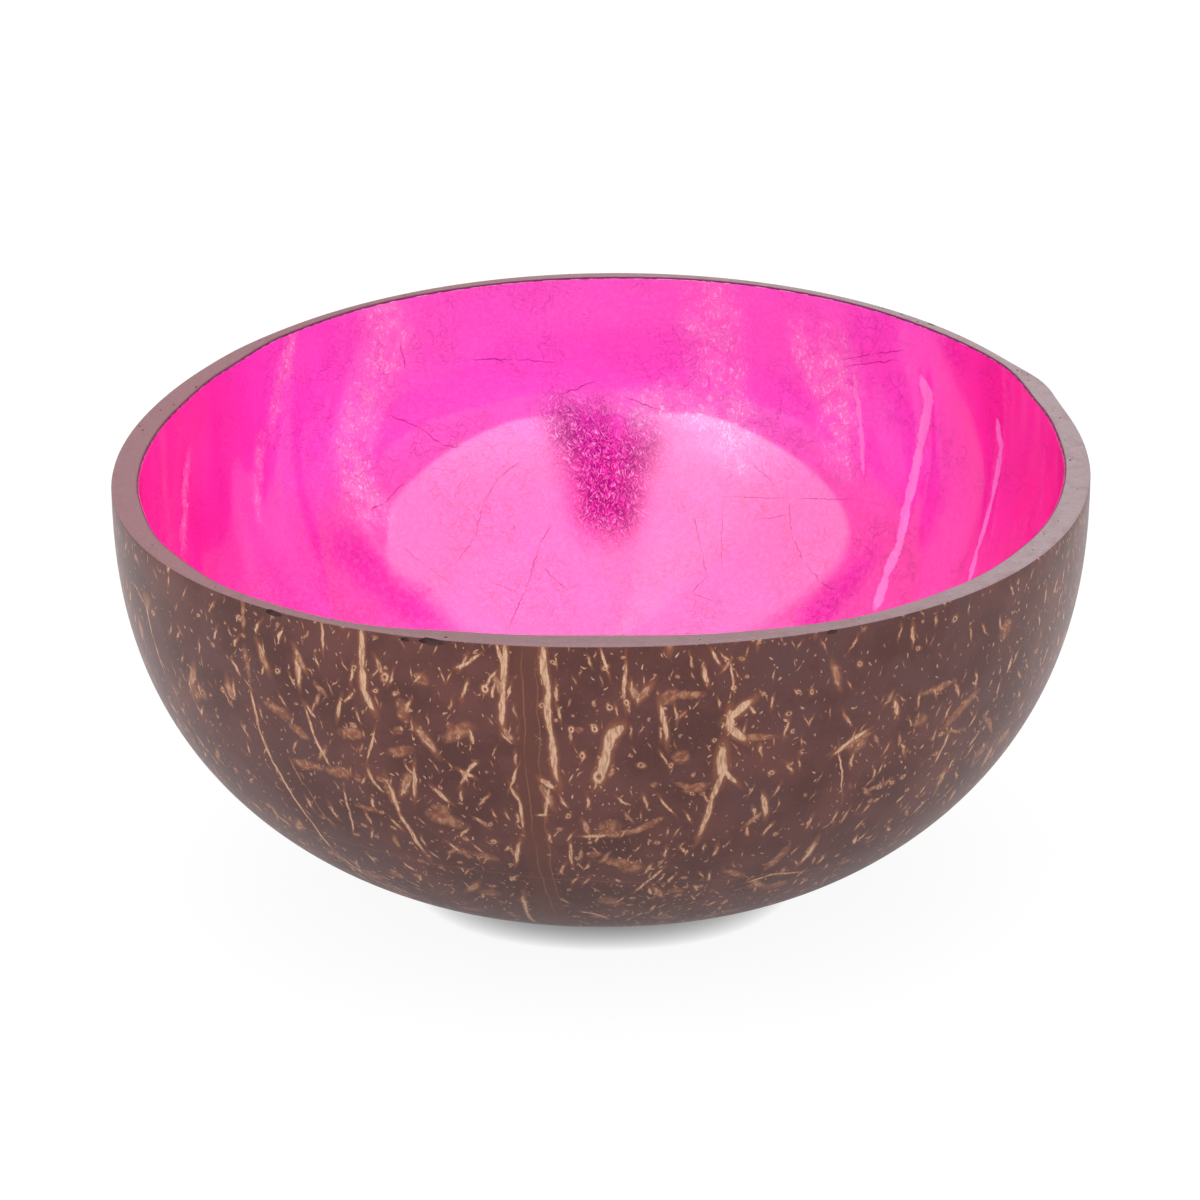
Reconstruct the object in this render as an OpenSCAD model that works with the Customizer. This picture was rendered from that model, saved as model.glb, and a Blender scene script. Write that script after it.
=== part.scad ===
// Coconut shell bowl: half a shell, cut level at the rim, sanded flat at the pole, and lined with a dark
// ground coat, metal leaf and tinted lacquer. Millimetres, Z up, origin at the centre of the foot.

/* [Shell] */
// Mean width across the cut rim
shell_width = 130; // [105:1:150]
// Height of the rim above the foot
shell_height = 61.3; // [45:0.1:75]
// Depth sanded off the natural pole to make the foot
foot_cut = 1.8; // [0.8:0.1:3]
// Mean thickness of the wall at the rim
rim_wall = 2.3; // [2:0.1:4]
// Thickness of the wall where it turns under the belly
belly_wall = 3.4; // [2.4:0.1:5]
// Thickness left over the foot
floor_wall = 3; // [1.5:0.1:5]
// Fullness of the side, where 2 is a plain ellipse
side_fullness = 1.79; // [1.6:0.01:2.2]
// Fullness of the belly, where 2 is a plain ellipse
belly_fullness = 2.44; // [2:0.01:2.8]

/* [Outline] */
// How far the three lobes stand out from the mean outline
lobe_rise = 1.6; // [0:0.1:3]
// Direction of the first lobe
lobe_turn = 87; // [60:1:110]
// How far the outline is drawn out to an oval
oval_rise = 0.6; // [0:0.05:2]
// Direction of the long way of the oval
oval_turn = 50; // [0:1:180]
// How far four faint corners stand out
corner_rise = 0.4; // [0:0.05:1]
// Direction of the first corner
corner_turn = 40; // [0:1:90]

/* [Sutures] */
// Height of the tallest suture ridge
suture_rise = 0.8; // [0:0.05:1.5]
// Width of a suture ridge at the rim
suture_width = 12; // [5:0.5:14]

/* [Rim] */
// Radius that eases the outer edge of the rim
outer_ease = 0.5; // [0.2:0.05:0.6]
// Radius that eases the inner edge of the rim
inner_ease = 0.1; // [0.05:0.05:0.3]

/* [Coats] */
// Thickness of the dark ground coat
ground_thick = 0.15; // [0.1:0.05:0.5]
// Thickness of the metal leaf with its size
leaf_thick = 0.04; // [0.03:0.01:0.1]
// Thickness of the tinted lacquer
lacquer_thick = 0.15; // [0.1:0.05:0.5]
// Height of bare shell above the ground coat
bare_band = 0.05; // [0.05:0.05:0.5]
// Height of the ground coat that shows above the leaf
ground_band = 0.15; // [0.1:0.05:1]
// Height of the leaf that shows above the lacquer
leaf_band = 0.05; // [0.05:0.05:0.5]

/* [Smoothness] */
// Stations round each of the three parts of the shell
lobe_stations = 22; // [16:1:28]
// Rings down each face of a wall
ring_steps = 11; // [8:1:14]
// Rings round each eased edge
ease_steps = 2; // [1:1:3]

/* [Hidden] */

// The shell grows in three parts. Their sutures run from the rim to the pole in these directions, in the
// flats between the lobes, and stand out by these shares of the tallest
suture_turns = [22, 143, 261];
suture_shares = [1, 0.15, 0.15];
suture_spread = suture_width / shell_width * 180 / PI;
lobes = len(suture_turns);
stations = lobes * lobe_stations;
// Thickness of the wall at the rim, at even steps round from +X, as shares of the mean
wall_shares = [
    1.35, 1.15, 0.55, 0.65, 0.55, 0.55, 0.7, 0.65, 0.55, 0.7, 1.2, 1.45,
    1.5, 1.45, 1.1, 0.65, 0.55, 1.2, 1.4, 1.1, 0.9, 1.15, 1.4, 1.45
];
// How far the stations are drawn together at the sutures
crowding_share = 0.5;
// Turn down the meridian at which the inside closes with a small flat
last_turn = 88;

natural_depth = shell_height + foot_cut;
inside_depth = shell_height - floor_wall;
ground_drop = inner_ease + bare_band;
leaf_drop = ground_drop + ground_band;
lacquer_drop = leaf_drop + leaf_band;
leaf_film = ground_thick + leaf_thick;
whole_film = leaf_film + lacquer_thick;

function mix(low, high, share) = low + (high - low) * share;
function total(list, from = 0) = from < len(list) ? list[from] + total(list, from + 1) : 0;
// Angle between two directions
function apart(one, other) = abs((one - other + 540) % 360 - 180);

// Direction of a station. Each suture has a station of its own, and the next ones are drawn towards it
function direction(station) =
    let (k = floor(station / lobe_stations), along = station / lobe_stations - k)
    let (span = (suture_turns[(k + 1) % lobes] - suture_turns[k] + 360) % 360)
    suture_turns[k] + span * (along - crowding_share * sin(360 * along) / (2 * PI));

// Radius of the rim's outline without its sutures
function smooth_reach(angle) =
    shell_width / 2
    + lobe_rise * cos(lobes * (angle - lobe_turn))
    + oval_rise * cos(2 * (angle - oval_turn))
    + corner_rise * cos(4 * (angle - corner_turn));

// Height of the suture ridges in one direction
function ridge(angle) =
    total([
        for (k = [0:lobes - 1])
            suture_rise * suture_shares[k]
            * exp(-pow(apart(angle, suture_turns[k]) / suture_spread, 2))
    ]);

// Thickness of the wall at the rim in one direction
function rim_wall_at(angle) =
    let (place = (angle + 360) % 360 / 360 * len(wall_shares))
    let (low = floor(place) % len(wall_shares))
    let (blend = (1 - cos(180 * (place - floor(place)))) / 2)
    let (next = (low + 1) % len(wall_shares))
    rim_wall * mix(wall_shares[low], wall_shares[next], blend);

function wall_at(angle, turn) = mix(rim_wall_at(angle), belly_wall, pow(sin(turn), 2));

// Turn down the meridian, 0 at the rim and 90 at the pole, that lies one drop below the rim
function turn_at(drop, depth) = asin(pow(drop / depth, belly_fullness / 2));

function level_point(angle, reach, drop) =
    [reach * cos(angle), reach * sin(angle), shell_height - drop];
function meridian_point(angle, turn, reach, depth) =
    level_point(
        angle,
        reach * pow(cos(turn), 2 / side_fullness),
        depth * pow(sin(turn), 2 / belly_fullness)
    );

// Ring of the outside, and ring of the inside under a film of coats
function outside_ring(turn) = [
    for (s = [0:stations - 1])
        let (angle = direction(s))
        meridian_point(angle, turn, smooth_reach(angle) + ridge(angle), natural_depth)
];
function inside_ring(turn, film) = [
    for (s = [0:stations - 1])
        let (angle = direction(s))
        meridian_point(angle, turn, smooth_reach(angle) - wall_at(angle, turn) - film, inside_depth - film)
];

// Rings from the foot up the outside to the rim
outside_rings =
    let (foot_turn = turn_at(shell_height, natural_depth))
    [for (k = [ring_steps:-1:1]) outside_ring(foot_turn * k / ring_steps)];

// Rings over the rim, eased at both edges
rim_rings = concat(
    [
        for (k = [0:ease_steps])
            let (arc = 90 * k / ease_steps)
            [
                for (s = [0:stations - 1])
                    let (angle = direction(s), reach = smooth_reach(angle) + ridge(angle))
                    level_point(angle, reach - outer_ease * (1 - cos(arc)), outer_ease * (1 - sin(arc)))
            ]
    ],
    [
        for (k = [0:ease_steps])
            let (arc = 90 * k / ease_steps)
            [
                for (s = [0:stations - 1])
                    let (angle = direction(s), reach = smooth_reach(angle) - rim_wall_at(angle))
                    level_point(angle, reach + inner_ease * (1 - sin(arc)), inner_ease * (1 - cos(arc)))
            ]
    ]
);

// Rings from the given drops below the rim down the inside to the pole, under a film of coats
function inside_rings(drops, film = 0) = concat(
    [for (drop = drops) inside_ring(turn_at(drop, inside_depth - film), film)],
    [for (k = [1:ring_steps]) inside_ring(last_turn * k / ring_steps, film)]
);
function reversed(list) = [for (k = [len(list) - 1:-1:0]) list[k]];

// Solid skinned over rings, each of which has a point for every station. Each patch is split from its upper
// corner at one station to its lower corner at the next, so that two faces over the same rings match
module skin(rings) {
    corner = function(ring, station) ring * stations + station % stations;
    sides = [
        for (r = [0:len(rings) - 2])
            for (s = [0:stations - 1])
                let (climbs = rings[r + 1][0].z > rings[r][0].z)
                each climbs
                    ? [
                        [corner(r, s), corner(r, s + 1), corner(r + 1, s)],
                        [corner(r, s + 1), corner(r + 1, s + 1), corner(r + 1, s)]
                    ]
                    : [
                        [corner(r, s), corner(r, s + 1), corner(r + 1, s + 1)],
                        [corner(r, s), corner(r + 1, s + 1), corner(r + 1, s)]
                    ]
    ];
    first_cap = [for (s = [stations - 1:-1:0]) corner(0, s)];
    last_cap = [for (s = [0:stations - 1]) corner(len(rings) - 1, s)];
    polyhedron([for (ring = rings) each ring], concat([first_cap], sides, [last_cap]));
}

// Half shell with its flat foot, cut rim, suture ridges and uneven wall
module coconut_shell() {
    color("#5b3a2e")
        skin(concat(outside_rings, rim_rings, inside_rings([ground_drop])));
}

// Dark lacquer ground that levels the inner wall
module ground_coat() {
    color("#3a1218")
        skin(concat(
            reversed(inside_rings([ground_drop])),
            inside_rings([ground_drop, leaf_drop], ground_thick)
        ));
}

// Metal leaf on its size, over the ground
module metal_leaf() {
    color("#d8d4da")
        skin(concat(
            reversed(inside_rings([leaf_drop], ground_thick)),
            inside_rings([leaf_drop, lacquer_drop], leaf_film)
        ));
}

// Pink tinted gloss lacquer over the leaf
module lacquer_coat() {
    color("#f4149c")
        skin(concat(
            reversed(inside_rings([lacquer_drop], leaf_film)),
            inside_rings([lacquer_drop], whole_film)
        ));
}

coconut_shell();
ground_coat();
metal_leaf();
lacquer_coat();
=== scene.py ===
import math

import bmesh
import bpy
from mathutils import Euler, Matrix, Vector, noise


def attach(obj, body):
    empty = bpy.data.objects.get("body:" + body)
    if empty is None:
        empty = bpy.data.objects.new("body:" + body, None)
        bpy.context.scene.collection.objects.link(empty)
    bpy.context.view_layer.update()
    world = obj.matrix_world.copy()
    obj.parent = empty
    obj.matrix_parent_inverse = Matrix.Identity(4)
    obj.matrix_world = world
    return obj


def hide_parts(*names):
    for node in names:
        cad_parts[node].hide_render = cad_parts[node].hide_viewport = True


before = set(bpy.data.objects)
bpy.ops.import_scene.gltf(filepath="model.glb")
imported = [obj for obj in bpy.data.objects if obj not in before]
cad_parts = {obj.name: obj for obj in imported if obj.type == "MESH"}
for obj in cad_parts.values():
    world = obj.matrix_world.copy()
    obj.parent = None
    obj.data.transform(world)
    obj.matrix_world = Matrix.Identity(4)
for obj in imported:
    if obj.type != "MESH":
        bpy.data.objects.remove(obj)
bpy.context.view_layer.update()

# The nut's sizes as the solids have them: lengths in millimetres, turns in degrees, and shares
MM = 0.001
SHELL_WIDTH = 130.0
SHELL_HEIGHT = 61.3
FOOT_CUT = 1.8
RIM_WALL = 2.3
BELLY_WALL = 3.4
FLOOR_WALL = 3.0
SIDE_FULLNESS = 1.79
BELLY_FULLNESS = 2.44
LOBE_RISE, LOBE_TURN = 1.6, 87.0
OVAL_RISE, OVAL_TURN = 0.6, 50.0
CORNER_RISE, CORNER_TURN = 0.4, 40.0
SUTURE_RISE, SUTURE_WIDTH = 0.8, 12.0
SUTURE_TURNS = (22.0, 143.0, 261.0)
SUTURE_SHARES = (1.0, 0.15, 0.15)
OUTER_EASE, INNER_EASE = 0.5, 0.1
GROUND_THICK, LEAF_THICK, LACQUER_THICK = 0.15, 0.04, 0.15
BARE_BAND, GROUND_BAND, LEAF_BAND = 0.05, 0.15, 0.05
WALL_SHARES = (1.35, 1.15, 0.55, 0.65, 0.55, 0.55, 0.7, 0.65, 0.55, 0.7, 1.2, 1.45,
               1.5, 1.45, 1.1, 0.65, 0.55, 1.2, 1.4, 1.1, 0.9, 1.15, 1.4, 1.45)

NATURAL_DEPTH = SHELL_HEIGHT + FOOT_CUT
INSIDE_DEPTH = SHELL_HEIGHT - FLOOR_WALL
SUTURE_SPREAD = math.degrees(SUTURE_WIDTH / SHELL_WIDTH)
GROUND_DROP = INNER_EASE + BARE_BAND
LEAF_DROP = GROUND_DROP + GROUND_BAND
LACQUER_DROP = LEAF_DROP + LEAF_BAND
LEAF_FILM = GROUND_THICK + LEAF_THICK
WHOLE_FILM = LEAF_FILM + LACQUER_THICK
# The dressed outside lies this far within the solid's, so that its smooth faces stay in the part's box
SKIN_INSET = 0.11
# Places nearer to each other than this, in metres, are one
TOUCH = 1e-7


def cosd(angle):
    return math.cos(math.radians(angle))


def sind(angle):
    return math.sin(math.radians(angle))


def smooth_reach(angle):
    return (SHELL_WIDTH / 2 - SKIN_INSET
            + LOBE_RISE * cosd(3 * (angle - LOBE_TURN))
            + OVAL_RISE * cosd(2 * (angle - OVAL_TURN))
            + CORNER_RISE * cosd(4 * (angle - CORNER_TURN)))


def suture_ridge(angle):
    rise = 0.0
    for turn, share in zip(SUTURE_TURNS, SUTURE_SHARES):
        apart = abs((angle - turn + 180) % 360 - 180)
        rise += SUTURE_RISE * share * math.exp(-(apart / SUTURE_SPREAD) ** 2)
    return rise


def rim_wall_at(angle):
    place = (angle % 360) / 360 * len(WALL_SHARES)
    low = int(place)
    blend = (1 - math.cos(math.pi * (place - low))) / 2
    return RIM_WALL * (WALL_SHARES[low % len(WALL_SHARES)] * (1 - blend)
                       + WALL_SHARES[(low + 1) % len(WALL_SHARES)] * blend)


def outer_radius(angle, turn):
    reach = smooth_reach(angle) + suture_ridge(angle)
    return reach * max(0.0, math.cos(turn)) ** (2 / SIDE_FULLNESS)


def outer_height(turn):
    return SHELL_HEIGHT - NATURAL_DEPTH * math.sin(turn) ** (2 / BELLY_FULLNESS)


def inner_radius(angle, turn, film):
    sunk = math.sin(turn) ** 2
    wall = rim_wall_at(angle) * (1 - sunk) + BELLY_WALL * sunk
    reach = smooth_reach(angle) - wall - film
    return reach * max(0.0, math.cos(turn)) ** (2 / SIDE_FULLNESS)


def inner_height(turn, film):
    return SHELL_HEIGHT - (INSIDE_DEPTH - film) * math.sin(turn) ** (2 / BELLY_FULLNESS)


def turn_at(drop, depth):
    return math.asin(min(1.0, (drop / depth) ** (BELLY_FULLNESS / 2)))


def turns_between(first, last, count):
    """Turns from first to last, which are left out, spread evenly."""
    return [first + (last - first) * k / (count + 1) for k in range(1, count + 1)]


# The outline's marks: each is a way to find radius and height at an angle
def outside_mark(turn):
    return lambda angle: (outer_radius(angle, turn), outer_height(turn))


def inside_mark(turn, film):
    return lambda angle: (inner_radius(angle, turn, film), inner_height(turn, film))


def foot_mark(share):
    edge = turn_at(SHELL_HEIGHT, NATURAL_DEPTH)
    return lambda angle: (outer_radius(angle, edge) * share, 0.0)


def centre_mark(height):
    return lambda angle: (0.0, height)


def rim_mark(side, share):
    """A mark on an eased edge of the rim, from 0 where it leaves the wall to 1 where it meets the flat."""
    bend = share * math.pi / 2

    def outer(angle):
        reach = outer_radius(angle, turn_at(OUTER_EASE, NATURAL_DEPTH))
        height = SHELL_HEIGHT - OUTER_EASE * (1 - math.sin(bend))
        return (reach - OUTER_EASE * (1 - math.cos(bend)), height)

    def inner(angle):
        reach = inner_radius(angle, turn_at(INNER_EASE, INSIDE_DEPTH), 0.0)
        height = SHELL_HEIGHT - INNER_EASE * (1 - math.sin(bend))
        return (reach + INNER_EASE * (1 - math.cos(bend)), height)
    return outer if side == "outer" else inner


def flat_mark(share):
    """A mark across the flat of the rim, from 0 at its outer edge to 1 at its inner edge."""
    outer, inner = rim_mark("outer", 1), rim_mark("inner", 1)
    return lambda angle: (outer(angle)[0] * (1 - share) + inner(angle)[0] * share, SHELL_HEIGHT)


CREASE = math.radians(35)
SKIN_TURN = SUTURE_TURNS[1]
LENGTH_STEPS = 2000
COARSE_STEP = 20
LEAST_REACH = 0.2


def meridian_lengths():
    """Height, length down the mean outside to it, and radius there, in even turns from the rim's level."""
    rows, length, last = [], 0.0, None
    for step in range(LENGTH_STEPS + 1):
        turn = math.pi / 2 * step / LENGTH_STEPS
        spot = (SHELL_WIDTH / 2 * math.cos(turn) ** (2 / SIDE_FULLNESS), outer_height(turn))
        if last:
            length += math.dist(spot, last)
        rows.append((spot[1], length, spot[0]))
        last = spot
    return rows


MERIDIAN = meridian_lengths()


def skin_drop(height):
    """Length down the mean outside from the rim's level to a height."""
    low, high = 0, len(MERIDIAN) - 1
    while high - low > 1:
        middle = (low + high) // 2
        if MERIDIAN[middle][0] > height:
            low = middle
        else:
            high = middle
    return MERIDIAN[low][1]


def skin_reach(drop):
    """Radius of the mean outside at a length down from the rim, as a share of the radius at the rim."""
    for height, length, radius in MERIDIAN[::COARSE_STEP]:
        if length >= drop:
            return radius / (SHELL_WIDTH / 2)
    return LEAST_REACH


def unrolled(turn):
    """Length round the rim from the suture where the skin is cut open, in millimetres."""
    return math.radians((turn - SKIN_TURN) % 360) * SHELL_WIDTH / 2


def settle(mesh):
    """Shades every face smoothly, but keeps the sharp edges."""
    for edge in mesh.edges:
        edge.smooth = edge.calc_face_angle(0.0) < CREASE
    for face in mesh.faces:
        face.smooth = True


def spun_piece(name, marks, stations, cut_row=None):
    """Spins a line of marks round the axis and moves each point out to the nut's own outline.

    Faces at and past the cut row wear the finish of the rim.
    """
    mesh = bmesh.new()
    row = mesh.verts.layers.int.new("row")
    line = []
    for index, mark in enumerate(marks):
        radius, height = mark(0.0)
        vert = mesh.verts.new((radius * MM, 0, height * MM))
        vert[row] = index
        line.append(vert)
    edges = [mesh.edges.new(pair) for pair in zip(line, line[1:])]
    bmesh.ops.spin(mesh, geom=line + edges, cent=(0, 0, 0), axis=(0, 0, 1), dvec=(0, 0, 0),
                   angle=2 * math.pi, steps=stations, use_merge=True, use_duplicate=False)
    for vert in mesh.verts:
        if vert.co.xy.length > TOUCH:
            angle = math.degrees(math.atan2(vert.co.y, vert.co.x))
            radius, height = marks[vert[row]](angle)
            vert.co = (radius * cosd(angle) * MM, radius * sind(angle) * MM, height * MM)
    bmesh.ops.remove_doubles(mesh, verts=mesh.verts, dist=TOUCH)
    bmesh.ops.recalc_face_normals(mesh, faces=mesh.faces)
    settle(mesh)
    if cut_row:
        for face in mesh.faces:
            if min(vert[row] for vert in face.verts) >= cut_row:
                face.material_index = RIM_FINISH
    data = bpy.data.meshes.new(name)
    mesh.to_mesh(data)
    mesh.free()
    piece = bpy.data.objects.new(name, data)
    bpy.context.scene.collection.objects.link(piece)
    return piece


def lay_skin(piece):
    """Gives a piece the skin's own map: length round the rim and length down from it, in metres."""
    mesh = bmesh.new()
    mesh.from_mesh(piece.data)
    skin = mesh.loops.layers.uv.new("skin")
    edge_reach = outer_radius(0.0, foot_edge)
    for face in mesh.faces:
        middle = face.calc_center_median()
        centre = math.degrees(math.atan2(middle.y, middle.x)) - SKIN_TURN
        for loop in face.loops:
            spot = loop.vert.co
            around = centre % 360
            if spot.xy.length > TOUCH:
                turn = math.degrees(math.atan2(spot.y, spot.x)) - SKIN_TURN
                around += (turn - centre + 180) % 360 - 180
            drop = skin_drop(spot.z / MM)
            if spot.z < TOUCH:
                drop += max(0.0, edge_reach - spot.xy.length / MM)
            loop[skin].uv = (math.radians(around) * SHELL_WIDTH / 2 * MM, drop * MM)
    mesh.to_mesh(piece.data)
    mesh.free()


def rim_spot(turn, share, drop=0.0):
    """A place on the rim's flat, or a drop below it, from 0 at the outer edge to 1 at the inner edge."""
    wall = rim_wall_at(turn)
    reach = smooth_reach(turn) - wall * share
    return Vector((reach * cosd(turn), reach * sind(turn), SHELL_HEIGHT - drop))


def cut_pits(piece, pits):
    """Cuts small rounded pits into a piece.

    Each is a place, its length along, its width across, its depth, and its turn.
    """
    cutter = bmesh.new()
    for place, sizes, turn in pits:
        made = bmesh.ops.create_icosphere(cutter, subdivisions=2, radius=1.0)
        for vert in made["verts"]:
            rough = 1 + PIT_ROUGHNESS * math.sin(PIT_WAVES[0] * vert.co.x + PIT_WAVES[1] * vert.co.y + turn)
            along, across, down = vert.co.x * sizes[0] / 2, vert.co.y * sizes[1] / 2, vert.co.z * sizes[2]
            vert.co = Vector((along, across, down)) * rough
            vert.co.rotate(Euler((0, 0, math.radians(turn))))
            vert.co = (vert.co + place) * MM
    for face in cutter.faces:
        face.material_index = PORE_FINISH
    data = bpy.data.meshes.new("pit_cutter")
    cutter.to_mesh(data)
    cutter.free()
    tool = bpy.data.objects.new("pit_cutter", data)
    bpy.context.scene.collection.objects.link(tool)
    for finish in piece.data.materials:
        data.materials.append(finish)
    cut = piece.modifiers.new("pits", "BOOLEAN")
    cut.operation, cut.object, cut.solver, cut.material_mode = "DIFFERENCE", tool, "EXACT", "INDEX"
    bpy.context.view_layer.update()
    whole = piece.evaluated_get(bpy.context.evaluated_depsgraph_get())
    data = bpy.data.meshes.new_from_object(whole)
    piece.modifiers.clear()
    bpy.data.objects.remove(tool)
    mesh = bmesh.new()
    mesh.from_mesh(data)
    settle(mesh)
    mesh.to_mesh(data)
    mesh.free()
    piece.data = data


# Steps round the axis, and rows of points from the rim down
SHELL_STATIONS, BACK_STATIONS, LINING_STATIONS = 360, 180, 540
OUTSIDE_ROWS, INSIDE_ROWS, COAT_ROWS, LINING_ROWS = 60, 30, 24, 60
RIM_FINISH, PORE_FINISH = 1, 2
PIT_ROUGHNESS, PIT_WAVES = 0.12, (5, 7)

foot_edge = turn_at(SHELL_HEIGHT, NATURAL_DEPTH)
outer_top = turn_at(OUTER_EASE, NATURAL_DEPTH)
bare_foot = turn_at(GROUND_DROP, INSIDE_DEPTH)

shell_marks = [centre_mark(0.0), foot_mark(0.5), foot_mark(0.9), outside_mark(foot_edge)]
shell_marks += [outside_mark(t) for t in turns_between(foot_edge, outer_top, OUTSIDE_ROWS)]
shell_marks += [rim_mark("outer", s) for s in (0, 0.33, 0.67, 1)]
rim_row = len(shell_marks) - 3
shell_marks += [flat_mark(s) for s in (0.25, 0.5, 0.75)]
shell_marks += [rim_mark("inner", s) for s in (1, 0)]
shell_marks += [inside_mark(bare_foot, 0.0)]
shell_marks += [inside_mark(t, 0.0) for t in turns_between(bare_foot, math.pi / 2, INSIDE_ROWS)]
shell_marks += [centre_mark(FLOOR_WALL)]

# Ripples that the lacquer keeps from the wall: turn and height of both ends, rise and half width
RIPPLES = (
    (44.5, 53, 40, 25, 0.13, 0.9), (29, 53, 24, 33, 0.1, 0.7), (56, 50, 52, 39, 0.06, 0.6),
    (62, 52, 59, 44, 0.05, 1.4), (120, 60, 117, 53, 0.06, 1.6), (123, 50, 126, 33, 0.1, 1.5),
    (136, 60, 141, 48, 0.06, 1.2), (143, 49, 148, 40, 0.05, 1.1), (162, 54, 170, 43, 0.04, 1.1))
RIPPLE_ENDS = 5.0
SWELL = 0.035
SWELL_WIDTH, SWELL_HEIGHT = 9.0, 26.0


def ripple(angle, height, radius):
    """How far the lacquer's face stands in from an even coat."""
    rise = 0.0
    for high_turn, high, low_turn, low, stand, half in RIPPLES:
        share = (high - height) / (high - low)
        apart = math.radians((angle - high_turn - (low_turn - high_turn) * share + 180) % 360 - 180) * radius
        over, under = (height - low) / RIPPLE_ENDS + 1, (high - height) / RIPPLE_ENDS + 1
        rise += stand * math.exp(-(apart / half) ** 2) * min(1.0, max(0.0, over), max(0.0, under))
    place = Vector((radius * cosd(angle) / SWELL_WIDTH, radius * sind(angle) / SWELL_WIDTH,
                    height / SWELL_HEIGHT))
    calm = min(1.0, (SHELL_HEIGHT - height) / RIPPLE_ENDS)
    return (rise + SWELL * (noise.noise(place) + 1)) * calm


def lining_mark(turn):
    def mark(angle):
        radius, height = inner_radius(angle, turn, WHOLE_FILM), inner_height(turn, WHOLE_FILM)
        inwards = ripple(angle, height, radius)
        return (max(0.0, radius - inwards * math.cos(turn)), height + inwards * math.sin(turn))
    return mark


def coat_marks(drop, next_drop, outer_film, inner_film, count, face_mark=None):
    """A film on the inside: up its back, over its thin top edge and down its face."""
    outer_turn = turn_at(drop, INSIDE_DEPTH)
    face_turn = turn_at(next_drop, INSIDE_DEPTH)
    face_mark = face_mark or (lambda turn: inside_mark(turn, inner_film))
    marks = [centre_mark(FLOOR_WALL + outer_film)]
    marks += [inside_mark(t, outer_film) for t in turns_between(math.pi / 2, outer_turn, COAT_ROWS)]
    marks += [inside_mark(outer_turn, outer_film), inside_mark(outer_turn, inner_film)]
    if next_drop > drop:
        marks += [inside_mark(face_turn, inner_film)]
    marks += [face_mark(t) for t in turns_between(face_turn, math.pi / 2, count)]
    marks += [centre_mark(FLOOR_WALL + inner_film)]
    return marks


shell = spun_piece("polished_shell", shell_marks, SHELL_STATIONS, rim_row)
ground_marks = coat_marks(GROUND_DROP, LEAF_DROP, 0.0, GROUND_THICK, COAT_ROWS)
ground = spun_piece("crimson_ground", ground_marks, BACK_STATIONS)
leaf_marks = coat_marks(LEAF_DROP, LACQUER_DROP, GROUND_THICK, LEAF_FILM, COAT_ROWS)
leaf = spun_piece("crinkled_leaf", leaf_marks, BACK_STATIONS)
lacquer_marks = coat_marks(LACQUER_DROP, LACQUER_DROP, LEAF_FILM, WHOLE_FILM, LINING_ROWS, lining_mark)
lacquer = spun_piece("pink_lacquer", lacquer_marks, LINING_STATIONS)
lay_skin(shell)


class Wire:
    """A value in a finish; sums and products of wires add Math nodes to it."""

    def __init__(self, finish, socket):
        self.finish = finish
        self.socket = socket

    def math(self, operation, *terms):
        return self.finish.node("ShaderNodeMath", {"operation": operation}, terms)

    def other(self, name):
        """Another output of the same node."""
        return Wire(self.finish, self.socket.node.outputs[name])

    def __add__(self, other):
        return self.math("ADD", self, other)

    def __radd__(self, other):
        return self.math("ADD", other, self)

    def __sub__(self, other):
        return self.math("SUBTRACT", self, other)

    def __rsub__(self, other):
        return self.math("SUBTRACT", other, self)

    def __mul__(self, other):
        return self.math("MULTIPLY", self, other)

    def __rmul__(self, other):
        return self.math("MULTIPLY", other, self)

    def __truediv__(self, other):
        return self.math("DIVIDE", self, other)

    def __pow__(self, exponent):
        return self.math("POWER", self, exponent)

    def __abs__(self):
        return self.math("ABSOLUTE", self)

    def __gt__(self, other):
        return self.math("GREATER_THAN", self, other)

    def least(self, other):
        return self.math("MINIMUM", self, other)

    def most(self, other):
        return self.math("MAXIMUM", self, other)


# Where a Mix node has its sockets for colours
MIX_FACTOR, MIX_FIRST, MIX_SECOND, MIX_RESULT = 0, 6, 7, 2


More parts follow.
